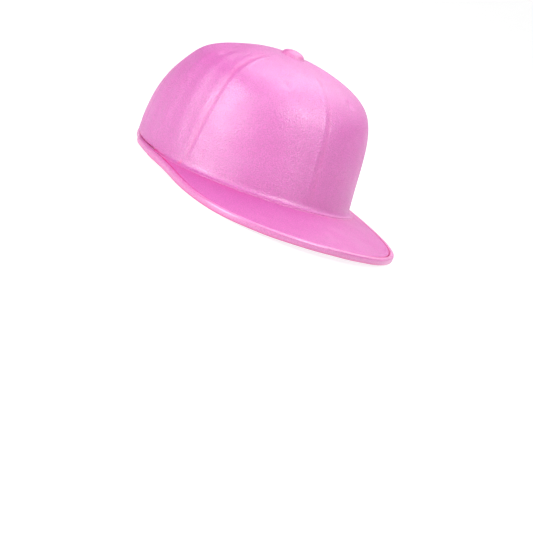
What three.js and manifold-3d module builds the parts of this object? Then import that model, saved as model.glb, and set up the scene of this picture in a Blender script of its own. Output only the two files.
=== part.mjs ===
// A moulded silicone highlighting cap in the shape of a flat-brimmed cap: a six-panel crown
// with a top button, a layered brim, and one bead that runs round the brim and the hem.
// Millimetres, +Z up. The brim points along -Y and +X is the wearer's left. The origin is the
// middle of the head opening, in the plane that the cap rests on.

import * as THREE from 'three';
import { mergeVertices } from 'three/addons/utils/BufferGeometryUtils.js';
import Module from 'manifold-3d';

const wasm = await Module();
wasm.setup();

// ---- Driving dimensions -------------------------------------------------------------------

// Crown: an oval dome, measured outside. Its front is steep and square-shouldered and leans
// back, and its rear is rounder. A figure that ends in Front is what the front has more of, and
// the rear less.
const CROWN = {
  halfLength: 92.5,
  halfWidth: 83.7,
  apex: 102.1,         // height of its top above the resting plane
  wall: 1.6,
  fullness: 3.95,      // exponent of the side profile along the height
  fullnessFront: 3.37,
  roundness: 2.22,     // exponent of the side profile along the radius
  roundnessFront: 0.265,
  shoulder: 0.042,     // share of the radius added at the shoulder
  shoulderFront: -0.055,
  shoulderAt: 0.855,   // share of the height
  shoulderSpread: 0.128,
  waist: 0.004,        // share of the radius lost halfway up
  taperFront: 0.234,   // share of the radius lost by the top
  rearEasing: 0.78,    // how fast the front-to-rear change levels off behind
  rearStart: -0.3,     // cosine of the angle where it starts to
};

// Height of the hem, where the crown meets the brim and the rim bead.
const HEM = { front: 14.5, side: 5.5, rear: 3 };

const BRIM = {
  reach: 60.8,        // past the crown, at the front
  wingAngle: 57.6,    // degrees from the front to where the brim would run out if it did not fade
  outlinePower: 2.6,
  fade: 44.6,         // length over which it fades into the hem band
  endFrom: 100.5,     // degrees between which the last of it ends
  endTo: 112.5,
  slopeFront: 0.099,  // fall per millimetre of reach
  slopeSide: 0.262,
  wingStep: 2.5,      // degrees between cross-sections
  wingSteps: 34,      // of them on each side of the middle
};

// The bead round the brim and the hem: how far it stands above them, how far past them on the
// brim and past the hem behind, how tall it is on the brim, and how far it reaches in.
const RIM = { proud: 0.8, outside: 0.7, outsideRear: 0.15, height: 5.4, inside: 3.6 };

const PANEL_SEAMS = [0, 63, 108, 180, 252, 297]; // degrees round the crown from the front
const SEAM_RIB = { height: 0.6, halfWidth: 3.2 };
const EYELET = { radius: 5, depth: 0.7, height: 0.872, steps: 16 }; // height is a share
const BUTTON = { radius: 9.75, height: 4.4, sink: 0.2, stem: 2.2, foot: 4.2, footThickness: 1.4 };
const SEAL = { thickness: 1.2, steps: 2 };
const LAYERS = { topSkin: 1.4, stiffener: 1.1, underSkin: 1.3 };
const BOND_BEAD = { width: 2.4, height: 2.8, waist: 0.8, endTaper: 14 };

const GAP = 0.3;      // clearance between touching pieces
const CROWN_SEGMENTS = 72;
const CROWN_STEPS = 14; // up the profile; the seal band shares its lowest steps
const WALL_TOP = 0.8; // share of the height where the crown's side turns into its dome
const RIM_SEGMENTS = 360 / BRIM.wingStep;

const SEAT = CROWN.wall + GAP + SEAL.thickness; // how far the brim reaches in under the crown

// ---- Curves that the pieces share ---------------------------------------------------------
// An angle goes round the cap from the front, up to half a turn each way, positive towards the
// wearer's left.

const radians = THREE.MathUtils.degToRad;
const smoothstep = THREE.MathUtils.smoothstep;
const lerp = THREE.MathUtils.lerp;

function hemHeight(angle) {
  const c = Math.cos(angle);
  const along = ((HEM.front + HEM.rear) / 2) * c * c + ((HEM.front - HEM.rear) / 2) * c;
  return HEM.side * Math.sin(angle) ** 2 + along;
}

// How far the brim stands out from the crown. It fades smoothly to nothing behind the wings.
function brimReach(angle) {
  const degrees = Math.abs(THREE.MathUtils.radToDeg(angle));
  const unfaded = BRIM.reach - BRIM.fade ** 2 / (4 * BRIM.reach);
  const raw = unfaded * (1 - (degrees / BRIM.wingAngle) ** BRIM.outlinePower);
  const left = 1 - smoothstep(degrees, BRIM.endFrom, BRIM.endTo);
  return (left * (raw + Math.hypot(raw, BRIM.fade))) / 2;
}

// A point at a distance out from the crown's hem, in plan.
function planPoint(angle, out) {
  return [(CROWN.halfWidth + out) * Math.sin(angle), -(CROWN.halfLength + out) * Math.cos(angle)];
}

function brimHeight(angle, out) {
  const slope = BRIM.slopeFront * Math.cos(angle) ** 2 + BRIM.slopeSide * Math.sin(angle) ** 2;
  return hemHeight(angle) - slope * Math.max(out, 0);
}

// 1 where the rim bead belongs to the brim, 0 where it is the hem band.
function brimShare(angle) {
  return smoothstep(brimReach(angle), 1, 10);
}

// The crown stands on the brim in front and on the rim bead behind.
function crownFoot(angle) {
  const reach = brimReach(angle);
  const onBrim = smoothstep(reach, RIM.inside, 2 * RIM.inside);
  const beadTop = Math.max(brimHeight(angle, reach) + RIM.proud, hemHeight(angle));
  return lerp(beadTop, hemHeight(angle), onBrim) + GAP;
}

// Distance of an angle from the nearest panel seam, as a height of rib.
function seamRib(angle) {
  const turn = 360;
  const degrees = (THREE.MathUtils.radToDeg(angle) + turn) % turn;
  const nearest = Math.min(...PANEL_SEAMS.map((seam) => {
    const away = Math.abs(degrees - seam);
    return Math.min(away, turn - away);
  }));
  const distance = radians(nearest) * CROWN.halfWidth;
  return SEAM_RIB.height * Math.exp(-((distance / SEAM_RIB.halfWidth) ** 2));
}

// 1 at the front, falling with the cosine of the angle and levelling off behind.
function frontness(angle) {
  const c = Math.cos(angle);
  return c + CROWN.rearEasing * Math.min(c - CROWN.rearStart, 0) ** 2;
}

function fullness(angle) {
  return CROWN.fullness + CROWN.fullnessFront * frontness(angle);
}

// The share of the crown's height at a share of the way up its profile: evenly up the side in
// the first half, then evenly round the dome.
function profileHeight(angle, up) {
  if (up < 0.5) return 2 * up * WALL_TOP;
  const power = fullness(angle) / 2;
  const arc = lerp(Math.asin(WALL_TOP ** power), Math.PI / 2, 2 * up - 1);
  return Math.sin(arc) ** (1 / power);
}

// A point on the crown, inset from its outer face. height goes from 0 at the hem to 1 on top.
function crownPoint(angle, height, inset) {
  const front = frontness(angle);
  const roundness = CROWN.roundness + CROWN.roundnessFront * front;
  const round = Math.max(1 - height ** fullness(angle), 0) ** (1 / roundness);
  const away = (height - CROWN.shoulderAt) / CROWN.shoulderSpread;
  const shoulder = (CROWN.shoulder + CROWN.shoulderFront * front) * Math.exp(-away * away);
  const waist = CROWN.waist * Math.sin(Math.PI * height);
  const radius = round * (1 + shoulder - waist - CROWN.taperFront * front * height);
  const rib = inset > 0 ? 0 : seamRib(angle) * smoothstep(height, 0.06, 0.2) * round;
  const foot = crownFoot(angle);
  return [
    ((CROWN.halfWidth - inset) * radius + rib) * Math.sin(angle),
    -((CROWN.halfLength - inset) * radius + rib) * Math.cos(angle),
    foot + (CROWN.apex - inset - foot) * height,
  ];
}

// ---- Ways to make a solid -----------------------------------------------------------------

function closedGeometry(geometry) {
  geometry.deleteAttribute('normal');
  geometry.deleteAttribute('uv');
  const merged = mergeVertices(geometry, 1e-3);
  merged.computeVertexNormals();
  return merged;
}

// Turns a closed profile of [across, up] points round the cap, then puts each point in place.
function ring(profile, segments, place) {
  const hub = 10; // keeps the profile off the axis while it is turned
  const points = [...profile, profile[0]].map(([across, up]) => new THREE.Vector2(hub + across, up));
  const geometry = new THREE.LatheGeometry(points, segments);
  const position = geometry.attributes.position;
  for (let i = 0; i < position.count; i += 1) {
    const x = position.getX(i);
    const z = position.getZ(i);
    const across = Math.hypot(x, z) - hub;
    position.setXYZ(i, ...place(Math.atan2(x, z), across, position.getY(i)));
  }
  return closedGeometry(geometry);
}

// Bends a box along the brim's wings. Its three shares run from 0 to 1: across the wings, from
// the brim's edge in to the crown, and up.
function wingStrip(inSteps, steps, place) {
  const geometry = new THREE.BoxGeometry(1, 1, 1, 2 * steps, inSteps, 1);
  const position = geometry.attributes.position;
  const reachAngle = radians(steps * BRIM.wingStep);
  for (let i = 0; i < position.count; i += 1) {
    const angle = 2 * position.getX(i) * reachAngle;
    position.setXYZ(i, ...place(angle, position.getY(i) + 0.5, position.getZ(i) + 0.5));
  }
  return closedGeometry(geometry);
}

function toManifold(geometry) {
  return new wasm.Manifold(new wasm.Mesh({
    numProp: 3,
    vertProperties: Float32Array.from(geometry.attributes.position.array),
    triVerts: Uint32Array.from(geometry.index.array),
  }));
}

function toGeometry(manifold) {
  const mesh = manifold.getMesh();
  const geometry = new THREE.BufferGeometry();
  geometry.setAttribute('position', new THREE.BufferAttribute(mesh.vertProperties, 3));
  geometry.setIndex(new THREE.BufferAttribute(mesh.triVerts, 1));
  geometry.computeVertexNormals();
  return geometry;
}

// ---- Crown --------------------------------------------------------------------------------

// Moves evenly spaced angles closer together at the panel seams, where the ribs are.
function seamAngle(angle) {
  const panels = PANEL_SEAMS.length;
  const turn = 2 * Math.PI;
  const even = (((angle + turn) % turn) / turn) * panels;
  const panel = Math.floor(even) % panels;
  const share = even - Math.floor(even);
  const eased = share - (0.6 * Math.sin(turn * share)) / turn;
  const next = panel + 1 < panels ? PANEL_SEAMS[panel + 1] : 360;
  const degrees = lerp(PANEL_SEAMS[panel], next, eased);
  return radians(degrees > 180 ? degrees - 360 : degrees);
}

// The dome's closed profile: up the outer face to the stem's hole, and down the inner one.
// Across is 1 outside and 0 inside. The last step up is the hole itself.
function crownProfile() {
  const climb = Array.from({ length: CROWN_STEPS + 1 }, (_, i) => i / CROWN_STEPS);
  const outer = climb.map((up) => [1, up]);
  const inner = climb.map((up) => [0, up]);
  return [...outer, ...inner.reverse()];
}

function placeCrown(evenAngle, across, up) {
  const angle = seamAngle(evenAngle);
  const inset = across > 0.5 ? 0 : CROWN.wall;
  if (up < 0.9999) return crownPoint(angle, profileHeight(angle, up), inset);
  const hole = BUTTON.stem + GAP;
  return [hole * Math.sin(angle), -hole * Math.cos(angle), CROWN.apex - inset];
}

// A shallow lens that presses one round dimple into a panel.
function eyeletCutter(angle) {
  const { radius, depth, height, steps } = EYELET;
  const lens = [
    [0, -depth],
    [0.55 * radius, -0.85 * depth],
    [0.85 * radius, -0.45 * depth],
    [radius, 0.1],
    [radius, 2],
    [0, 2],
  ].map(([x, y]) => new THREE.Vector2(x, y));
  const geometry = closedGeometry(new THREE.LatheGeometry(lens, steps));
  const at = (turned, raised) => (
    new THREE.Vector3(...crownPoint(angle + turned, height + raised, 0))
  );
  const around = at(0.02, 0).sub(at(-0.02, 0));
  const up = at(0, 0.01).sub(at(0, -0.01));
  const outward = around.cross(up).normalize();
  const turn = new THREE.Quaternion().setFromUnitVectors(new THREE.Vector3(0, 1, 0), outward);
  geometry.applyQuaternion(turn);
  geometry.translate(...at(0, 0));
  return toManifold(geometry);
}

function crownShell() {
  let dome = toManifold(ring(crownProfile(), CROWN_SEGMENTS, placeCrown));
  PANEL_SEAMS.forEach((seam, i) => {
    const next = PANEL_SEAMS[i + 1] ?? 360;
    const middle = (seam + next) / 2;
    dome = dome.subtract(eyeletCutter(radians(middle > 180 ? middle - 360 : middle)));
  });
  return toGeometry(dome);
}

// A domed cap on a stem, with a foot that snaps through the crown. Its own origin is the
// crown's apex.
function topButton() {
  const under = -CROWN.wall - GAP;
  const { radius, height, sink, stem, foot, footThickness } = BUTTON;
  const profile = [[0, under - footThickness], [0.7 * foot, under - footThickness], [foot, under]];
  profile.push([stem, under], [stem, GAP], [radius - 0.4, GAP - sink]);
  const domeSteps = 5;
  for (let i = 0; i < domeSteps; i += 1) {
    const arc = (i / domeSteps) * (Math.PI / 2);
    profile.push([radius * Math.cos(arc) ** 0.8, 0.6 + (height - 0.6) * Math.sin(arc)]);
  }
  profile.push([0, height]);
  const points = profile.map(([x, y]) => new THREE.Vector2(x, y));
  return closedGeometry(new THREE.LatheGeometry(points, 24)).rotateX(Math.PI / 2);
}

// A soft band that lines the foot of the crown and seals on the head.
function innerSealBand() {
  const near = CROWN.wall + GAP;
  const far = near + SEAL.thickness;
  const top = SEAL.steps / CROWN_STEPS;
  const profile = [[0, 0], [1, 0], [1, top / 2], [1, top], [0, top], [0, top / 2]];
  return ring(profile, CROWN_SEGMENTS, (evenAngle, across, up) => {
    const angle = seamAngle(evenAngle);
    return crownPoint(angle, profileHeight(angle, up), across > 0.5 ? near : far);
  });
}

// ---- Brim and rim -------------------------------------------------------------------------

// One layer of the brim. Its foot lies under the crown, and its edge stops short of the rim.
function brimLayer(depth, thickness) {
  return wingStrip(2, BRIM.wingSteps, (angle, inShare, upShare) => {
    const edge = brimReach(angle) - RIM.inside - GAP;
    const out = inShare > 0.5 ? -SEAT : lerp(edge, 0, 2 * inShare);
    const [x, y] = planPoint(angle, out);
    return [x, y, brimHeight(angle, out) - depth - thickness * (1 - upShare)];
  });
}

// A bead of bonding silicone in the corner between the crown and the brim, tapered towards
// the ends of the wings.
function bondBead() {
  const steps = BRIM.wingSteps - 1;
  return wingStrip(1, steps, (angle, inShare, upShare) => {
    const fromEnd = steps * BRIM.wingStep - Math.abs(THREE.MathUtils.radToDeg(angle));
    const size = lerp(0.25, 1, smoothstep(fromEnd, 0, BOND_BEAD.endTaper));
    const { width, height, waist } = BOND_BEAD;
    const out = inShare > 0.5 ? GAP : GAP + size * lerp(width, waist, upShare);
    const [x, y] = planPoint(angle, out);
    const up = upShare < 0.5 ? 0 : size * lerp(waist, height, inShare);
    return [x, y, brimHeight(angle, out) + GAP + up];
  });
}

// One closed bead: round the brim's edge in front, and below the crown's hem behind, where
// its underside is flat. Past the wings it reaches in under the crown.
function rimBand() {
  const wingEnd = radians((BRIM.wingSteps + 0.5) * BRIM.wingStep);
  const profile = [
    [0, 0],
    [0.72, 0],
    [0.92, 0.1],
    [1, 0.32],
    [1, 0.62],
    [0.93, 0.86],
    [0.76, 1],
    [0, 1],
  ];
  return ring(profile, RIM_SEGMENTS, (angle, across, up) => {
    const reach = brimReach(angle);
    const top = brimHeight(angle, reach) + RIM.proud;
    const bottom = Math.max(top - RIM.height, 0) * brimShare(angle);
    const inner = Math.abs(angle) < wingEnd ? reach - RIM.inside : -SEAT;
    const outer = reach + lerp(RIM.outsideRear, RIM.outside, brimShare(angle));
    const [x, y] = planPoint(angle, lerp(inner, outer, across));
    return [x, y, lerp(bottom, top, up)];
  });
}

// ---- Assembly -----------------------------------------------------------------------------

const PINK = { crown: 0xf296d6, brim: 0xed82c9, rim: 0xeb9bcf, button: 0xfca3e0, core: 0xe7c9dc };

function piece(name, geometry, color, roughness = 0.45) {
  const material = new THREE.MeshStandardMaterial({ color, roughness, metalness: 0 });
  const mesh = new THREE.Mesh(geometry, material);
  mesh.name = name;
  return mesh;
}

const crown = new THREE.Group();
const button = piece('top_button', topButton(), PINK.button, 0.4);
button.position.z = CROWN.apex;
crown.add(piece('crown_shell', crownShell(), PINK.crown), button);
crown.add(piece('inner_seal_band', innerSealBand(), PINK.crown, 0.5));

const brim = new THREE.Group();
const stiffenerDepth = LAYERS.topSkin + GAP;
const underDepth = stiffenerDepth + LAYERS.stiffener + GAP;
brim.add(
  piece('brim_top_skin', brimLayer(0, LAYERS.topSkin), PINK.brim),
  piece('brim_stiffener', brimLayer(stiffenerDepth, LAYERS.stiffener), PINK.core, 0.6),
  piece('brim_under_skin', brimLayer(underDepth, LAYERS.underSkin), PINK.brim, 0.5),
  piece('rim_band', rimBand(), PINK.rim, 0.4),
  piece('bond_bead', bondBead(), PINK.brim, 0.4),
);

const cap = new THREE.Group();
cap.add(crown, brim);

export default cap;
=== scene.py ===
"""The looks of a moulded pink silicone highlighting cap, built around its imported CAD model.

Lengths in this script are millimetres until a mesh is made, which is in metres, as the lights
and the floor are. +Z is up, the brim points along -Y and +X is the wearer's left. An angle goes
round the cap from the front, positive towards +X, as in the CAD model, whose curves are
repeated here.
"""

import math

import bpy
import numpy as np
from mathutils import Matrix, Vector


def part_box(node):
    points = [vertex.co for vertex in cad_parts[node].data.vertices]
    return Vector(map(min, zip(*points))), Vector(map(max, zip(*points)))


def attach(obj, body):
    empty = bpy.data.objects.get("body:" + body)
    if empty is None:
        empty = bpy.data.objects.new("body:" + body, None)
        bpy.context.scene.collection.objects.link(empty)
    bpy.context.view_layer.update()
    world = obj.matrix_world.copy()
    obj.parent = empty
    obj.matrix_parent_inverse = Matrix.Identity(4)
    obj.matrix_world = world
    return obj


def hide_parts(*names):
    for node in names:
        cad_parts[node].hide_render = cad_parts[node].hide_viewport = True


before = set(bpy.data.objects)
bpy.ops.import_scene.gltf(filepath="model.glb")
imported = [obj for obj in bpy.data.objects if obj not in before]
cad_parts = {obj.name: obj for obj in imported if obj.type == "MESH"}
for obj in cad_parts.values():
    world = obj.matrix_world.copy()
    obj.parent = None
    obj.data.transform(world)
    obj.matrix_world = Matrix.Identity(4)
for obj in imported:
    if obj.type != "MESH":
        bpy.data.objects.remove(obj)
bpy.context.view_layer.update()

METRES = 0.001
rng = np.random.default_rng(7)    # each wander() draws from it, so their order matters


def box_mm(node):
    """A CAD node's lowest and highest corners, in millimetres."""
    low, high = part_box(node)
    return np.array(low) / METRES, np.array(high) / METRES


# ---- Driving dimensions, from the CAD model where it gives them -----------------------------

crown_low, crown_high = box_mm("crown_shell")
rim_low, _ = box_mm("rim_band")
_, skin_high = box_mm("brim_top_skin")
button_low, button_high = box_mm("top_button")

GAP = 0.3            # between touching pieces

# The bead round the brim: how far it stands above, outside and inside the brim's edge.
RIM_PROUD = 0.8
RIM_OUTSIDE, RIM_OUTSIDE_REAR = 0.7, 0.15
RIM_HEIGHT = 5.4
RIM_INSIDE = 3.6

# The crown's side profile. A figure named FRONT is what the front has more of.
HALF_LENGTH = -crown_low[1]
HALF_WIDTH = crown_high[0]
APEX = crown_high[2]
WALL = 1.6
FULLNESS, FULLNESS_FRONT = 3.95, 3.37
ROUNDNESS, ROUNDNESS_FRONT = 2.22, 0.265
SHOULDER, SHOULDER_FRONT = 0.042, -0.055
SHOULDER_AT, SHOULDER_SPREAD = 0.855, 0.128
WAIST = 0.004
TAPER_FRONT = 0.234
REAR_EASING, REAR_START = 0.78, -0.3
WALL_TOP = 0.8       # share of the height where the side turns into the dome

HEM_FRONT = skin_high[2]
HEM_SIDE = 5.5
HEM_REAR = 3.0

# The brim's outline: it fades into the hem behind its wings.
REACH = -rim_low[1] - HALF_LENGTH - RIM_OUTSIDE
WING_ANGLE = math.radians(57.6)
WING_END = math.radians(85)
REACH_END = np.radians([100.5, 112.5])
OUTLINE_POWER = 2.6
FADE = 44.6
UNFADED_REACH = REACH - FADE**2 / (4 * REACH)
SLOPE_FRONT, SLOPE_SIDE = 0.099, 0.262

SEAL_THICKNESS = 1.2
SEAL_HEIGHT = 0.228  # share of the crown's height
SEAT = WALL + GAP + SEAL_THICKNESS   # the brim's pieces reach this far in under the crown
TOP_SKIN, STIFFENER, UNDER_SKIN = 1.4, 1.1, 1.3
UNDER_DEPTH = TOP_SKIN + STIFFENER + 2 * GAP

SEAMS = np.radians([0, 63, 108, 180, 252, 297])
EYELET_HEIGHT = 0.872
EYELET_RADIUS, EYELET_DEPTH = 3.6, 0.7
EYELET_LIP_RADIUS, EYELET_LIP = 5.6, 0.16


# ---- Curves shared by the pieces ------------------------------------------------------------


def smooth(value, low, high):
    """0 below low, 1 above high, and an eased slope between them."""
    share = np.clip((value - low) / (high - low), 0, 1)
    return share * share * (3 - 2 * share)


def bump(value, centre, width):
    """1 at the centre, falling off softly on both sides."""
    return np.exp(-(((value - centre) / width) ** 2))


def hem_height(angle):
    """Height of the line where the crown's outer face meets the brim's top."""
    c = np.cos(angle)
    along = (HEM_FRONT + HEM_REAR) / 2 * c**2 + (HEM_FRONT - HEM_REAR) / 2 * c
    return HEM_SIDE * np.sin(angle) ** 2 + along


def wrapped(angle):
    """The same angle, between minus and plus half a turn."""
    return (angle + np.pi) % (2 * np.pi) - np.pi


def brim_reach(angle):
    """How far the brim stands out from the crown's hem."""
    away = np.abs(wrapped(angle))
    raw = UNFADED_REACH * (1 - (away / WING_ANGLE) ** OUTLINE_POWER)
    return (1 - smooth(away, *REACH_END)) * (raw + np.hypot(raw, FADE)) / 2


def plan_point(angle, out):
    """A point at a distance out from the crown's hem, in plan."""
    return (HALF_WIDTH + out) * np.sin(angle), -(HALF_LENGTH + out) * np.cos(angle)


def brim_height(angle, out):
    """Height of the brim's top, which slopes down away from the crown."""
    slope = SLOPE_FRONT * np.cos(angle) ** 2 + SLOPE_SIDE * np.sin(angle) ** 2
    return hem_height(angle) - slope * np.maximum(out, 0)


def on_brim(angle):
    """1 where the crown's foot is on the brim, 0 behind it."""
    return smooth(brim_reach(angle), 3, 12)


def crown_foot(angle):
    """Height of the crown's lower edge: just above the brim, and above the bead behind it."""
    reach = brim_reach(angle)
    inside_bead = smooth(reach, RIM_INSIDE, 2 * RIM_INSIDE)
    bead_top = np.maximum(brim_height(angle, reach) + RIM_PROUD, hem_height(angle))
    return bead_top + (hem_height(angle) - bead_top) * inside_bead + GAP


def frontness(angle):
    """1 at the front, falling with the cosine of the angle and levelling off behind."""
    c = np.cos(angle)
    return c + REAR_EASING * np.minimum(c - REAR_START, 0) ** 2


def fullness(angle):
    """How squarely the crown's side turns into its top."""
    return FULLNESS + FULLNESS_FRONT * frontness(angle)


def crown_round(angle, height):
    """Share of the plan radius left at a share of the height."""
    left = np.clip(1 - np.clip(height, 0, 1) ** fullness(angle), 0, 1)
    return left ** (1 / (ROUNDNESS + ROUNDNESS_FRONT * frontness(angle)))


def crown_point(angle, height, inset):
    """A point at a share of the crown's height, inset from its outer face."""
    front = frontness(angle)
    shoulder = (SHOULDER + SHOULDER_FRONT * front) * bump(height, SHOULDER_AT, SHOULDER_SPREAD)
    waist = WAIST * np.sin(np.pi * height)
    radius = crown_round(angle, height) * (1 + shoulder - waist - TAPER_FRONT * front * height)
    foot = crown_foot(angle)
    x = (HALF_WIDTH - inset) * radius * np.sin(angle)
    y = -(HALF_LENGTH - inset) * radius * np.cos(angle)
    z = foot + (APEX - inset - foot) * height
    return np.stack([x, y, z], axis=-1)


def wander(length, scale, count=9):
    """A smooth irregular line: sines of random pitch near a scale, about one high."""
    pitches = scale * rng.uniform(0.6, 1.9, count)
    phases = rng.uniform(0, 2 * np.pi, count)
    waves = [np.sin(2 * np.pi * length / p + f) for p, f in zip(pitches, phases)]
    return np.sum(waves, axis=0) / math.sqrt(count)


# ---- Ways to make a mesh --------------------------------------------------------------------


def grid_faces(rows, columns, close_columns):
    """Four-sided faces over a grid of points whose first and last rows join."""
    index = np.arange(rows * columns).reshape(rows, columns)
    index = np.vstack([index, index[:1]])
    if close_columns:
        index = np.hstack([index, index[:, :1]])
    corners = [index[:-1, :-1], index[:-1, 1:], index[1:, 1:], index[1:, :-1]]
    return np.stack([c.ravel() for c in corners], axis=-1)


def end_caps(rows, columns):
    """The two ends of a tube of open columns, as one many-sided face each."""
    index = np.arange(rows * columns).reshape(rows, columns)
    return [index[:, 0].tolist(), index[::-1, -1].tolist()]


def signed_volume(points, faces):
    """Six times the volume inside four-sided faces, negative where they point inwards."""
    a, b, c, d = (points[faces[:, i]] for i in range(4))
    first = np.einsum("ij,ij->i", a, np.cross(b, c)).sum()
    return first + np.einsum("ij,ij->i", a, np.cross(c, d)).sum()


def make_piece(name, points, material, replaces, painted_shade_share=None, close_columns=True):
    """Makes a closed piece from rows of points. Where a share of painted shade is given, it is how
    far each point is darkened towards the painted shade colour, from 0 to 1."""
    rows, columns, _ = points.shape
    flat = points.reshape(-1, 3) * METRES
    quads = grid_faces(rows, columns, close_columns)
    faces = quads.tolist()
    if not close_columns:
        faces += end_caps(rows, columns)
    if signed_volume(flat, quads) < 0:
        faces = [face[::-1] for face in faces]
    mesh = bpy.data.meshes.new(name)
    mesh.from_pydata(flat.tolist(), [], faces)
    mesh.polygons.foreach_set("use_smooth", [len(face) == 4 for face in faces])
    # painted shade: how far each point's colour is darkened, from 0 to 1
    painted_shade = mesh.attributes.new("painted_shade", "FLOAT", "POINT")
    painted_shade.data.foreach_set("value", np.zeros(len(flat)) if painted_shade_share is None else painted_shade_share.ravel())
    mesh.materials.append(material)
    mesh.update()
    piece = bpy.data.objects.new(name, mesh)
    bpy.context.scene.collection.objects.link(piece)
    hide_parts(replaces)
    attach(piece, "root")
    return piece


def normals(points):
    """Outward directions on rows of points that go round the cap."""
    along = np.roll(points, -1, axis=1) - np.roll(points, 1, axis=1)
    up = np.gradient(points, axis=0)
    across = np.cross(along, up)
    length = np.maximum(np.linalg.norm(across, axis=-1, keepdims=True), 1e-9)
    return across / length


def even_angles(count, out, start, end):
    """Angles from start to end that are evenly spaced along a curve out from the hem."""
    fine = np.linspace(start, end, 8 * count)
    x, y = plan_point(fine, out(fine))
    length = np.concatenate([[0], np.cumsum(np.hypot(np.diff(x), np.diff(y)))])
    wanted = np.linspace(0, length[-1], count)
    return np.interp(wanted, length, fine), wanted


# ---- Materials ------------------------------------------------------------------------------


def linear(red, green, blue):
    """A colour from 0-255 display values."""
    shares = [value / 255 for value in (red, green, blue)]
    light = [s / 12.92 if s <= 0.04045 else ((s + 0.055) / 1.055) ** 2.4 for s in shares]
    return (*light, 1)


def new_material(name):
    """A material, its nodes, its links and its surface shader."""
    material = bpy.data.materials.new(name)
    material.use_nodes = True
    nodes = material.node_tree.nodes
    return material, nodes, material.node_tree.links, nodes["Principled BSDF"]


def noise(nodes, links, place, scale, detail=2.0, roughness=0.5):
    """Cloudy noise with a scale in waves per metre."""
    node = nodes.new("ShaderNodeTexNoise")
    node.inputs["Scale"].default_value = scale
    node.inputs["Detail"].default_value = detail
    node.inputs["Roughness"].default_value = roughness
    links.new(place, node.inputs["Vector"])
    return node.outputs["Fac"]


def ranged(nodes, links, value, low, high, to_low, to_high):
    """A value eased from one range on to another."""
    node = nodes.new("ShaderNodeMapRange")
    node.interpolation_type = "SMOOTHSTEP"
    limits = {"From Min": low, "From Max": high, "To Min": to_low, "To Max": to_high}
    for socket, limit in limits.items():
        node.inputs[socket].default_value = limit
    links.new(value, node.inputs["Value"])
    return node.outputs["Result"]


def mixed(nodes, links, share, first, second):
    """A colour mix. Each colour is a node's output or a fixed colour."""
    node = nodes.new("ShaderNodeMix")
    node.data_type = "RGBA"
    links.new(share, node.inputs["Factor"])
    for socket, colour in (("A", first), ("B", second)):
        inputs = [i for i in node.inputs if i.name == socket and i.type == "RGBA"]
        if isinstance(colour, tuple):
            inputs[0].default_value = colour
        else:
            links.new(colour, inputs[0])
    return [o for o in node.outputs if o.type == "RGBA"][0]


def bumped(nodes, links, height, strength, distance, below=None):
    """A surface direction tilted by a height, over an earlier relief where one is given."""
    node = nodes.new("ShaderNodeBump")
    node.inputs["Strength"].default_value = strength
    node.inputs["Distance"].default_value = distance
    links.new(height, node.inputs["Height"])
    if below is not None:
        links.new(below, node.inputs["Normal"])
    return node.outputs["Normal"]


def shade(colour, factor):
    """A colour made brighter or darker by a factor."""
    return tuple(min(c * factor, 1) for c in colour[:3]) + (1,)


PAINTED_SHADE_COLOUR = linear(206, 36, 128)   # painted shade: the darker pink that grooves, creases and gaps are painted towards


def silicone(name, colour, roughness, grain, ripple, gloss=1.0, coat=0.0):
    """Moulded silicone: cloudy colour, light flecks of grain and painted sparkle, painted shade in
    its grooves, over a fine grain and a slight ripple that break up its soft shine."""
    material, nodes, links, shader = new_material(name)
    place = nodes.new("ShaderNodeTexCoord").outputs["Object"]

    cloud = ranged(nodes, links, noise(nodes, links, place, 16), 0.3, 0.7, 0, 1)
    # light flecks at random: part grain, part painted sparkle
    grain_and_sparkle = ranged(nodes, links, noise(nodes, links, place, 1300, 2, 0.7), 0.35, 0.65, 0, 1)
    tone = mixed(nodes, links, cloud, shade(colour, 0.965), shade(colour, 1.03))
    grain_and_sparkle_colour = mixed(nodes, links, grain_and_sparkle, tone, shade(colour, 1.4))
    # painted shade: each point's stored share darkens the colour towards the painted shade colour
    painted_shade = nodes.new("ShaderNodeAttribute")
    painted_shade.attribute_name = "painted_shade"
    shaded_colour = mixed(nodes, links, painted_shade.outputs["Fac"], grain_and_sparkle_colour, PAINTED_SHADE_COLOUR)
    links.new(shaded_colour, shader.inputs["Base Color"])

    smear = noise(nodes, links, place, 55, 3)
    worn = ranged(nodes, links, smear, 0.3, 0.7, roughness - 0.05, roughness + 0.07)
    links.new(worn, shader.inputs["Roughness"])

    ripples = bumped(nodes, links, noise(nodes, links, place, 95, 2), ripple, 0.0009)
    grains = bumped(nodes, links, noise(nodes, links, place, 1000, 2, 0.6), grain, 0.0005, ripples)
    links.new(grains, shader.inputs["Normal"])

    shader.inputs["IOR"].default_value = 1.72
    shader.inputs["Specular IOR Level"].default_value = gloss
    shader.inputs["Subsurface Weight"].default_value = 0.15
    shader.inputs["Subsurface Radius"].default_value = (1.0, 0.35, 0.6)
    shader.inputs["Subsurface Scale"].default_value = 0.004
    shader.inputs["Coat Weight"].default_value = coat
    shader.inputs["Coat Roughness"].default_value = 0.3
    return material


def board(name, colour):
    """Matt polyethylene board with a faint fibre."""
    material, nodes, links, shader = new_material(name)
    place = nodes.new("ShaderNodeTexCoord").outputs["Object"]
    stretch = nodes.new("ShaderNodeMapping")
    stretch.inputs["Scale"].default_value = (1, 0.08, 1)
    links.new(place, stretch.inputs["Vector"])
    fibre = noise(nodes, links, stretch.outputs["Vector"], 900, 3)
    share = ranged(nodes, links, fibre, 0.35, 0.65, 0, 1)
    tone = mixed(nodes, links, share, shade(colour, 0.94), shade(colour, 1.03))
    links.new(tone, shader.inputs["Base Color"])
    links.new(ranged(nodes, links, fibre, 0.3, 0.7, 0.55, 0.7), shader.inputs["Roughness"])
    links.new(bumped(nodes, links, fibre, 0.25, 0.0002), shader.inputs["Normal"])
    return material


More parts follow.
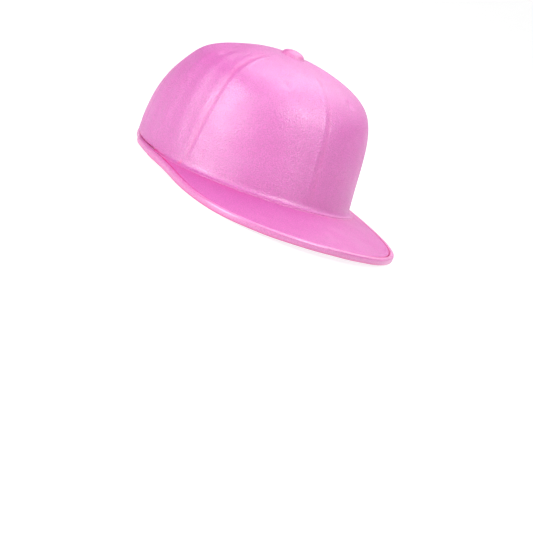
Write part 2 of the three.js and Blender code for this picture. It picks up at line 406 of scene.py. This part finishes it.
def paper(name):
    """The pale studio floor, lit from below as on a light table, so that shadows stay faint."""
    material, nodes, links, shader = new_material(name)
    place = nodes.new("ShaderNodeTexCoord").outputs["Object"]
    share = ranged(nodes, links, noise(nodes, links, place, 30, 3), 0.3, 0.7, 0, 1)
    tone = mixed(nodes, links, share, (0.21, 0.21, 0.21, 1), (0.23, 0.23, 0.23, 1))
    links.new(tone, shader.inputs["Base Color"])
    shader.inputs["Roughness"].default_value = 0.8
    shader.inputs["Emission Color"].default_value = (1, 1, 1, 1)
    shader.inputs["Emission Strength"].default_value = 0.84
    return material


crown_silicone = silicone("crown_silicone", linear(170, 67, 144), 0.43, 0.8, 0.2)
brim_silicone = silicone("brim_silicone", linear(167, 66, 139), 0.48, 0.5, 0.16, 0.55)
rim_silicone = silicone("rim_silicone", linear(178, 84, 147), 0.38, 0.25, 0.12, 1.0, 0.1)
button_silicone = silicone("button_silicone", linear(173, 73, 140), 0.44, 0.6, 0.08)
seal_silicone = silicone("seal_silicone", linear(180, 80, 146), 0.6, 0.4, 0.1)
stiffener_board = board("stiffener_board", linear(231, 201, 220))


# ---- Crown ----------------------------------------------------------------------------------

TOE = 3.6            # radius of the fillet where the crown flares on to the brim
TOE_ROOT = 0.8       # how far the toe goes on down into the brim
HEM_EDGE = 0.45      # radius of the crown's lower edge behind the brim
HEM_LINE = 5.2       # height of a fine line above that edge
STEM_HOLE = 0.028    # cosine of the dome's arc at the edge of the hole for the button's stem

# A seam: the height and width of its ridge, the depth of the valley beside it, how far away
# that is, and how much painted shade falls in that valley.
SIDE_SEAM = {"ridge": 0.28, "width": 1.8, "valley": 0.24, "away": 3.6, "valley_shade": 0.14}
FRONT_SEAM = {"ridge": 0.22, "width": 2.2, "valley": 0.12, "away": 5.0, "valley_shade": 0.08}
VALLEY_WIDTH = 1.9
SEAM_LINE_AWAY = 6.4          # a fine line beyond the valley

PANEL_PULL = 0.6              # how far a panel pulls in between its seams
FOLD_DEPTH, FOLD_PITCH = 0.36, 19
FOLDS_START, FOLDS_END = (1.12, 1.3), (1.6, 1.85)   # angles over which the folds come and go

CREASE_ANGLE, CREASE_HEIGHT = math.radians(-58), 0.14
NOTCH_ANGLE, NOTCH_HEIGHT = math.radians(-66.5), 0.012

CROWN_COLUMNS = 540
FILLET_ROWS, WALL_ROWS, DOME_ROWS = 14, 84, 44


def column_angles(count):
    """Angles round the crown, closer together at the seams."""
    even = np.arange(count) / count * len(SEAMS)
    panel = even.astype(int)
    share = even - panel
    eased = share - 0.72 * np.sin(2 * np.pi * share) / (2 * np.pi)
    ends = np.append(SEAMS, 2 * np.pi)
    return ends[panel] + (ends[panel + 1] - ends[panel]) * eased


def panel_share(angle):
    """How far across its panel an angle lies, from 0 to 1."""
    ends = np.append(SEAMS, 2 * np.pi)
    turn = angle % (2 * np.pi)
    panel = np.clip(np.searchsorted(ends, turn, side="right") - 1, 0, len(SEAMS) - 1)
    return (turn - ends[panel]) / (ends[panel + 1] - ends[panel])


def seam_relief(angle, height):
    """Ridges over the panel seams, each with a valley on its rear side. Gives the relief and the
    painted shade in each valley."""
    relief = np.zeros_like(height)
    seam_shade = np.zeros_like(height)
    radius = HALF_WIDTH * crown_round(angle, height)
    fade = smooth(height, 0.02, 0.16) * (1 - smooth(height, 0.94, 0.995))
    for seam in SEAMS:
        rearward = -1 if seam > np.pi + 0.01 else 1
        away = wrapped(angle - seam) * radius * rearward
        form = FRONT_SEAM if seam == 0 else SIDE_SEAM
        ridge = bump(away, 0, form["width"])
        valley = bump(away, form["away"], VALLEY_WIDTH)
        line = bump(away, SEAM_LINE_AWAY, 0.6)
        relief += form["ridge"] * ridge - form["valley"] * valley
        relief -= 0.1 * line * smooth(0.75 - height, 0, 0.2)
        # painted shade in each valley and along the fine line beyond it
        seam_shade += form["valley_shade"] * valley + 0.06 * line
    return relief * fade, np.clip(seam_shade * fade, 0, 1)


def panel_relief(angle, height):
    """Panels that pull in between the seams, with the soft waves of a thin moulding."""
    share = panel_share(angle)
    middle = np.sin(np.pi * share)
    belt = smooth(height, 0.03, 0.25) * (1 - smooth(height, 0.8, 1))
    pull = -PANEL_PULL * middle**1.5 * smooth(height, 0.02, 0.3) * (1 - smooth(height, 0.9, 1))
    away = np.abs(wrapped(angle))
    sides = smooth(away, *FOLDS_START) * (1 - smooth(away, *FOLDS_END))
    length = wrapped(angle) * HALF_WIDTH
    folds = FOLD_DEPTH * np.sin(2 * np.pi * (length + 10 * height) / FOLD_PITCH) * sides
    waves = 0.13 * wander(length + 60 * height, 37) + 0.1 * wander(100 * height - 0.3 * length, 41)
    return pull + belt * middle * (folds + waves)


def eyelet_relief(points):
    """A soft round dimple high on each panel."""
    relief = np.zeros(points.shape[:-1])
    for seam, following in zip(SEAMS, np.append(SEAMS[1:], 2 * np.pi)):
        centre = crown_point((seam + following) / 2, EYELET_HEIGHT, 0)
        distance = np.linalg.norm(points - centre, axis=-1)
        relief += EYELET_LIP * bump(distance, EYELET_LIP_RADIUS, 2.0)
        relief -= EYELET_DEPTH * bump(distance, 0, EYELET_RADIUS)
    return relief


def moulding_marks(angle, height):
    """A short crease and a small notch low beside one side seam. Gives the relief and the painted
    shade in them."""
    around = (wrapped(angle) - CREASE_ANGLE) * HALF_WIDTH - 12 * (CREASE_HEIGHT - height)
    crease = bump(around, 0, 1.0) * bump(height, CREASE_HEIGHT, 0.06)
    beside = (wrapped(angle) - NOTCH_ANGLE) * HALF_WIDTH
    notch = bump(beside, 0, 1.3) * bump(height, NOTCH_HEIGHT, 0.012)
    return -0.35 * crease - 0.3 * notch, 0.12 * crease + 0.7 * notch


def foot_offset(angle, above):
    """How far the foot of the crown stands out: a flared fillet on the brim, and a rounded
    edge behind it."""
    drop = np.clip(TOE - above, 0, TOE)
    flare = TOE - np.sqrt(TOE**2 - drop**2)
    lift = np.clip(HEM_EDGE - above, 0, HEM_EDGE)
    tuck = HEM_EDGE - np.sqrt(HEM_EDGE**2 - lift**2)
    return on_brim(angle) * flare - (1 - on_brim(angle)) * tuck


def toe_sink(angle, above):
    """How far the flared toe comes down to meet the brim, which slopes away from the crown."""
    fall = brim_height(angle, 0) - brim_height(angle, TOE)
    return on_brim(angle) * (1 - smooth(above, 0, TOE)) * (fall + GAP + 0.05)


def hem_sink(angle, above):
    """Behind the brim the crown's edge comes down to all but touch the band."""
    return 0.2 * (1 - on_brim(angle)) * (1 - smooth(above, 0, 3))


def crown_heights(angle):
    """Rows of heights for a row of angles: fillet, side, and a dome spaced along its arc."""
    span = APEX - HEM_SIDE
    fillet = np.radians(np.linspace(0, 90, FILLET_ROWS))
    foot_rows = TOE * (1 - np.cos(fillet)) / span
    wall_rows = np.linspace(TOE / span + 0.01, WALL_TOP, WALL_ROWS)
    power = fullness(angle) / 2
    arc_low = np.arcsin(WALL_TOP**power)
    arc_high = np.arccos(STEM_HOLE)
    steps = np.linspace(0, 1, DOME_ROWS)[1:, None]
    dome_rows = np.sin(arc_low + (arc_high - arc_low) * steps) ** (1 / power)
    low = np.concatenate([foot_rows, wall_rows])[:, None]
    return np.vstack([np.repeat(low, angle.shape[1], axis=1), dome_rows])


def build_crown():
    """The dome's outer face with its relief, and a plain inner face one wall inside it."""
    angle = column_angles(CROWN_COLUMNS)[None, :]
    height = crown_heights(angle)
    angle = np.broadcast_to(angle, height.shape)

    outer = crown_point(angle, height, 0)
    seams, seam_shade = seam_relief(angle, height)
    above = height * (APEX - crown_foot(angle))
    hem_line = -0.14 * bump(above, HEM_LINE, 0.7) * (1 - on_brim(angle))
    marks, mark_shade = moulding_marks(angle, height)
    relief = seams + panel_relief(angle, height) + eyelet_relief(outer) + hem_line + marks
    relief += foot_offset(angle, above)
    outer = outer + normals(outer) * relief[..., None]
    outer[..., 2] -= toe_sink(angle, above) + hem_sink(angle, above)
    root = outer[:1] - np.array([0, 0, TOE_ROOT]) * on_brim(angle[:1])[..., None]
    # painted shade in the seam valleys, crease and notch, and at the crown's foot
    hem_shadow = 0.9 * bump(above, 0, 0.6) * (1 - on_brim(angle))
    toe_shadow = 0.12 * bump(above, 0, 0.35) * on_brim(angle)
    painted_shade = np.clip(seam_shade + mark_shade + hem_shadow + toe_shadow, 0, 1)

    inner_height = height[::-6]
    inner = crown_point(angle[::-6], inner_height, WALL)
    points = np.vstack([root, outer, inner])
    painted_shades = np.vstack([painted_shade[:1], painted_shade, np.zeros(inner_height.shape)])
    return make_piece("crown", points, crown_silicone, "crown_shell", painted_shades)


def button_profile(radius, top, bottom):
    """The button's section, from its skirt over the dome, down its axis, and back along the
    foot, the stem and the underside. Heights are from the crown's top."""
    skirt = [(0.985, -0.6), (1.0, -0.1), (0.975, 0.12), (0.945, 0.34), (0.92, 0.62)]
    profile = [(radius * share, up) for share, up in skirt]
    for arc in np.linspace(0.24, np.pi / 2, 20)[:-1]:
        profile.append((0.91 * radius * math.cos(arc) ** 0.85, top * math.sin(arc)))
    profile += [(0.12, top), (0.12, bottom), (2.9, bottom)]
    under = -WALL - GAP
    profile += [(4.0, under - 0.3), (3.9, under), (2.2, under), (2.2, -0.5), (0.86 * radius, -0.5)]
    return np.array(profile).T


def build_button():
    """A domed button with a skirt where it sits on the crown, and a foot that snaps inside."""
    radius = button_high[0]
    turns = np.linspace(0, 2 * np.pi, 96, endpoint=False)
    across, up = button_profile(radius, button_high[2] - APEX, button_low[2] - APEX)
    wave = 1 + 0.012 * np.sin(3 * turns + 0.6) + 0.008 * np.sin(5 * turns + 2)
    x = across[:, None] * np.sin(turns) * wave
    y = -across[:, None] * np.cos(turns) * wave
    z = APEX + np.broadcast_to(up[:, None], x.shape)
    # painted shade, deepening from the skirt's crease down over the foot
    painted_shade = np.broadcast_to((0.5 * smooth(-up, 0.1, 0.9))[:, None], x.shape)
    points = np.stack([x, y, z], axis=-1)
    return make_piece("button", points, button_silicone, "top_button", painted_shade)


def build_seal_band():
    """The soft band inside the crown's foot, with two shallow gripping lips."""
    angles = column_angles(300)
    heights = np.linspace(0, SEAL_HEIGHT, 26)
    height, angle = np.meshgrid(heights, angles, indexing="ij")
    share = height / SEAL_HEIGHT
    ends = 1 - smooth(np.abs(share - 0.5), 0.44, 0.5)
    lips = 0.25 * bump(share, 0.35, 0.07) + 0.25 * bump(share, 0.7, 0.07)
    face = crown_point(angle, height, WALL + GAP + SEAL_THICKNESS * (0.45 + 0.55 * ends) + lips)
    back = crown_point(angle[::-4], height[::-4], WALL + GAP)
    points = np.vstack([face, back])
    name = "inner_seal_band"
    return make_piece("seal_band", points, seal_silicone, name)


# ---- Brim -----------------------------------------------------------------------------------

STITCH_PITCH = 2.1
STITCH_ROW = 3.8     # distance of the stitch-like row of dots from the skin's edge
GROOVE_GAP = 0.12    # the skin all but touches the rim
FAINT_ROWS = (9.0, 16.0, 22.0)      # distances of the faint lines from the skin's edge
FLASH_ANGLE = math.radians(-19.8)   # of a small nick of moulding flash on the rim


def skin_edge(angle):
    """How far out the brim's skins reach: up to the bead."""
    return brim_reach(angle) - RIM_INSIDE - GROOVE_GAP


def brim_relief(out, edge, length):
    """Marks in the brim's top: it rises on to the crown, rounds off at the groove beside the
    rim, and has faint lines along its edge, one of them dotted like stitching."""
    inward = edge - out
    rise = 0.25 * np.exp(-np.maximum(out, 0) / 2.6)
    rounding = -0.6 * np.exp(-np.maximum(inward, 0) / 0.5)
    lines = sum(0.07 * bump(inward, row, 0.8) for row in FAINT_ROWS)
    dots = 0.5 + 0.5 * np.cos(2 * np.pi * length / STITCH_PITCH)
    stitches = bump(inward, STITCH_ROW, 0.6) * (0.3 * dots - 0.2)
    return rise + rounding - lines + stitches


def toe_shade(out, angle, length):
    """Painted shade along the crown's toe: a soft darker strip where the crown shades the brim,
    strongest on one wing, and a broken hairline crack painted dark with shade on the other."""
    beyond = np.maximum(out - TOE, 0)
    wing = 0.3 + 0.7 * smooth(-angle, math.radians(20), math.radians(38))
    strip = 0.34 * wing * np.exp(-beyond / 5)
    dashes = smooth(wander(length, 11), 0.1, 0.5) * smooth(angle, math.radians(4), math.radians(8))
    crack = 0.6 * dashes * bump(out, TOE + 0.9, 0.45)
    return strip + crack


def build_brim_top():
    """The brim's upper skin, with rows that close up towards the groove beside the rim."""
    angles, lengths = even_angles(1100, skin_edge, -WING_END, WING_END)
    edge = skin_edge(angles)[None, :]
    field = np.linspace(0, 1, 58)[:-6] ** 0.9
    brink = 1 - np.geomspace(0.07, 0.004, 9)
    shares = np.concatenate([field, brink, [1]])[:, None]
    out = -SEAT + (edge + SEAT) * shares
    angle = np.broadcast_to(angles[None, :], out.shape)
    length = np.broadcast_to(lengths[None, :], out.shape)
    relief = brim_relief(out, edge, length) * smooth(edge, 0.5, 12)
    relief = np.where(out < 0, np.minimum(relief, 0.1), relief)
    soft = 0.12 * wander(length, 60) * smooth(edge - out, 2, 14) * smooth(out, 2, 14)
    x, y = plan_point(angle, out)
    top = np.stack([x, y, brim_height(angle, out) + relief + soft], axis=-1)

    under_out = out[::-12]
    under_angle = angle[::-12]
    x, y = plan_point(under_angle, under_out)
    under = np.stack([x, y, brim_height(under_angle, under_out) - TOP_SKIN], axis=-1)
    # painted shade at the skin's edge by the rim and along the toe; the hidden underside is shaded
    # too
    painted_shade = 0.8 * bump(edge - out, 0, 0.5) + toe_shade(out, angle, length)
    painted_shade = np.clip(painted_shade * smooth(out, -1, 0), 0, 1)
    points = np.vstack([top, under])
    painted_shades = np.vstack([painted_shade, np.full(under_out.shape, 0.3)])
    return make_piece(
        "brim_top", points, brim_silicone, "brim_top_skin", painted_shades, False
    )


def build_brim_underside():
    """The brim's lower skin, with shallow rings that run along its edge."""
    angles, _ = even_angles(420, skin_edge, -WING_END, WING_END)
    edge = skin_edge(angles)[None, :]
    shares = np.linspace(0, 1, 70)[:, None]
    out = -SEAT + (edge + SEAT) * shares
    angle = np.broadcast_to(angles[None, :], out.shape)
    x, y = plan_point(angle, out)
    base = brim_height(angle, out) - UNDER_DEPTH
    rings = 0.12 * np.sin(2 * np.pi * (edge - out) / 6.0) * smooth(out, 0, 6)
    rounding = 0.5 * np.exp(-np.maximum(edge - out, 0) / 0.5)
    low = np.stack([x, y, base - UNDER_SKIN + rings + rounding], axis=-1)
    x, y = plan_point(angle[::-10], out[::-10])
    high = np.stack([x, y, base[::-10]], axis=-1)
    points = np.vstack([low, high])
    return make_piece(
        "brim_underside", points, brim_silicone, "brim_under_skin", None, False
    )


def bead_profile(count, power):
    """A rounded box from 0 to 1 each way, as rows of (across, up)."""
    turn = np.linspace(0, 2 * np.pi, count, endpoint=False)
    cosine, sine = np.cos(turn), np.sin(turn)
    across = 0.5 + 0.5 * np.sign(cosine) * np.abs(cosine) ** (2 / power)
    up = 0.5 + 0.5 * np.sign(sine) * np.abs(sine) ** (2 / power)
    return across, up


def build_rim():
    """The bead round the brim, which goes on behind as the band below the crown's hem."""
    angles, lengths = even_angles(1000, brim_reach, -np.pi, np.pi)
    angles, lengths = angles[:-1], lengths[:-1]
    across, up = bead_profile(44, 3.0)
    angle = np.broadcast_to(angles[None, :], (len(across), len(angles)))
    length = np.broadcast_to(lengths[None, :], angle.shape)
    across, up = across[:, None], up[:, None]
    reach = brim_reach(angle)
    top = brim_height(angle, reach) + RIM_PROUD + 0.06 * wander(length, 40)
    brim_share = smooth(reach, 1, 10)
    bottom = np.maximum(top - RIM_HEIGHT, 0) * brim_share
    inner = reach - RIM_INSIDE
    inner = inner + (-SEAT - inner) * smooth(np.abs(angle), WING_END, WING_END + 0.012)
    outside = RIM_OUTSIDE_REAR + (RIM_OUTSIDE - RIM_OUTSIDE_REAR) * brim_share
    outer = reach + outside + 0.05 * wander(length, 55)
    x, y = plan_point(angle, inner + (outer - inner) * across)
    z = bottom + (top - bottom) * up
    flash = bump((angle - FLASH_ANGLE) * HALF_LENGTH, 0, 4) * bump(across, 0.35, 0.12)
    z += 0.3 * flash * smooth(up, 0.7, 0.95)
    points = np.stack([x, y, z], axis=-1)
    # painted shade on the bead's inner flank by the groove and along its lower edge
    painted_shade = 0.8 * smooth(0.3 - across, 0, 0.25) * smooth(up, 0.4, 0.9)
    painted_shade = painted_shade + 0.55 * smooth(0.36 - up, 0, 0.2) * smooth(across, 0.5, 0.8)
    painted_shade = np.broadcast_to(painted_shade, angle.shape)
    return make_piece("rim", points, rim_silicone, "rim_band", painted_shade)


def toe_line(angle):
    """How far out the crown's toe reaches."""
    return np.full_like(angle, TOE)


def build_bond_flash():
    """The uneven lip of silicone left where the crown is bonded on to the brim."""
    angles, lengths = even_angles(900, toe_line, -WING_END, WING_END)
    across, up = bead_profile(12, 2.2)
    across, up = across[:, None], up[:, None]
    taper = smooth(WING_END - np.abs(angles), 0.0, 0.25)
    ragged = np.clip(0.55 + 0.3 * wander(lengths, 7) + 0.2 * wander(lengths, 3), 0.1, 1.3)
    width = (1.3 + 0.9 * ragged) * taper + 0.15
    tall = (0.75 + 0.2 * ragged) * taper + 0.1
    out = TOE - 1.1 + width * across
    angle = np.broadcast_to(angles[None, :], out.shape)
    x, y = plan_point(angle, out)
    z = brim_height(angle, out) + tall * (up - 0.7)
    points = np.stack([x, y, z], axis=-1)
    return make_piece(
        "bond_flash", points, button_silicone, "bond_bead", None, False
    )


# ---- Stage ----------------------------------------------------------------------------------

VIEW_AZIMUTH, VIEW_ELEVATION, VIEW_ROLL = 326.27, 10.73, 23.69
VIEW_DISTANCE = 1400
IMAGE_WIDTH = 533
VIEW_SCALE = 0.7504        # millimetres at SIGHTED for each step of the image's width
SIGHTED = (0, -25, 50)     # a point in the crown
AIM_LEFT, AIM_DOWN = 10.4, 101.8
LIT = (0, -20, 50)         # the point in the crown that the lights aim at
COVE, CEILING = 0.97, 0.46 # the sky's brightness at eye level and overhead
FLOOR_HALF = 30            # half the floor's side, in metres


def direction(azimuth, elevation):
    """Towards a camera or light. Azimuth 0 is in front, 90 on the wearer's left."""
    a, e = math.radians(azimuth), math.radians(elevation)
    return Vector((math.sin(a) * math.cos(e), -math.cos(a) * math.cos(e), math.sin(e)))


def add_camera():
    """A camera turned about its axis, aimed to one side of and below the sighted point."""
    back = direction(VIEW_AZIMUTH, VIEW_ELEVATION)
    level = Vector((math.cos(math.radians(VIEW_AZIMUTH)), math.sin(math.radians(VIEW_AZIMUTH)), 0))
    upright = back.cross(level)
    roll = math.radians(VIEW_ROLL)
    right = level * math.cos(roll) + upright * math.sin(roll)
    up = upright * math.cos(roll) - level * math.sin(roll)
    sighted = Vector(SIGHTED)
    place = sighted + back * VIEW_DISTANCE
    target = sighted - right * AIM_LEFT - up * AIM_DOWN
    away = (place - target).normalized()
    right = up.cross(away).normalized()
    up = away.cross(right)
    data = bpy.data.cameras.new("camera")
    data.sensor_width = 36
    data.lens = data.sensor_width * VIEW_DISTANCE / (IMAGE_WIDTH * VIEW_SCALE)
    data.clip_start, data.clip_end = 0.01, 100
    camera = bpy.data.objects.new("camera", data)
    turn = Matrix((right, up, away)).transposed()
    camera.matrix_world = Matrix.Translation(place * METRES) @ turn.to_4x4()
    bpy.context.scene.collection.objects.link(camera)
    bpy.context.scene.camera = camera


def add_softbox(name, azimuth, elevation, distance, width, height, brightness):
    """A light panel aimed at the crown, sized in metres. A brightness of 1 would look white."""
    data = bpy.data.lights.new(name, "AREA")
    data.shape = "RECTANGLE"
    data.size = width
    data.size_y = height
    data.energy = math.pi * width * height * brightness
    light = bpy.data.objects.new(name, data)
    light.visible_camera = False
    away = direction(azimuth, elevation)
    light.location = Vector(LIT) * METRES + away * distance
    light.rotation_mode = "QUATERNION"
    light.rotation_quaternion = away.to_track_quat("Z", "Y")
    bpy.context.scene.collection.objects.link(light)


def studio_sky():
    """A white cove at eye level under a dimmer ceiling."""
    world = bpy.data.worlds.new("studio")
    world.use_nodes = True
    nodes, links = world.node_tree.nodes, world.node_tree.links
    place = nodes.new("ShaderNodeTexCoord").outputs["Generated"]
    split = nodes.new("ShaderNodeSeparateXYZ")
    links.new(place, split.inputs["Vector"])
    level = ranged(nodes, links, split.outputs["Z"], 0.03, 0.3, COVE, CEILING)
    links.new(level, nodes["Background"].inputs["Strength"])
    nodes["Background"].inputs["Color"].default_value = (1, 1, 1, 1)
    return world


def add_stage():
    """The sky, four softboxes and the floor."""
    bpy.context.scene.world = studio_sky()
    bpy.context.scene.view_settings.view_transform = "Standard"
    add_softbox("left_softbox", 278, 20, 1.2, 0.45, 0.8, 10.2)
    add_softbox("right_softbox", 15, 46, 1.3, 0.5, 0.45, 14.4)
    add_softbox("top_softbox", 150, 74, 1.3, 1.0, 1.0, 3.2)
    add_softbox("far_softbox", 122, 40, 1.3, 1.2, 0.8, 1.6)
    mesh = bpy.data.meshes.new("floor")
    half = FLOOR_HALF
    corners = [(-half, -half, 0), (half, -half, 0), (half, half, 0), (-half, half, 0)]
    mesh.from_pydata(corners, [], [(0, 1, 2, 3)])
    mesh.materials.append(paper("floor_paper"))
    floor = bpy.data.objects.new("floor", mesh)
    bpy.context.scene.collection.objects.link(floor)


def finish_cad_node(name, material):
    """Gives a CAD node that stays in view its own material."""
    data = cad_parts[name].data
    data.materials.clear()
    data.materials.append(material)


build_crown()
build_button()
build_seal_band()
build_brim_top()
build_brim_underside()
build_rim()
build_bond_flash()
finish_cad_node("brim_stiffener", stiffener_board)
add_camera()
add_stage()
